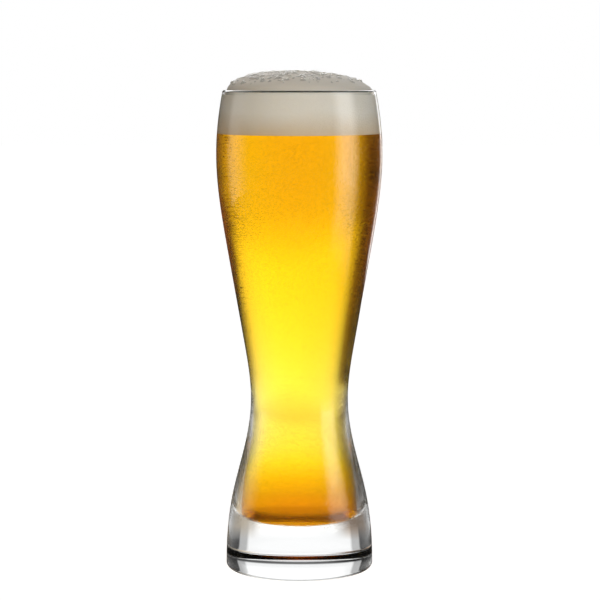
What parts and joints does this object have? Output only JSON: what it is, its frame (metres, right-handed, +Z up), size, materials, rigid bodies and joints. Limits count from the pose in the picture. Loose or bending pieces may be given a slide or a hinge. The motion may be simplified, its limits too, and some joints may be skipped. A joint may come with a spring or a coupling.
{
  "type": "weizen glass",
  "caption": "Tall waisted wheat-beer glass with a wide belly and a thick clear base, filled with golden beer under a domed head of foam.",
  "frame": {"origin": "centre of the foot, on the plane that the glass stands on", "axes": "+Z up along the glass's axis of revolution; X and Y are alike"},
  "size_m": [0.081, 0.081, 0.2444],
  "materials": {
    "clear_glass": "clear soda-lime glass, fire-polished, with fine dew on the outside",
    "wheat_beer": "clear golden liquid",
    "beer_foam": "fine matt froth with coarser bubbles on the crown"
  },
  "bodies": {
    "root": {"glass": "clear_glass", "beer": "wheat_beer", "foam_head": "beer_foam"}
  },
  "joints": []
}
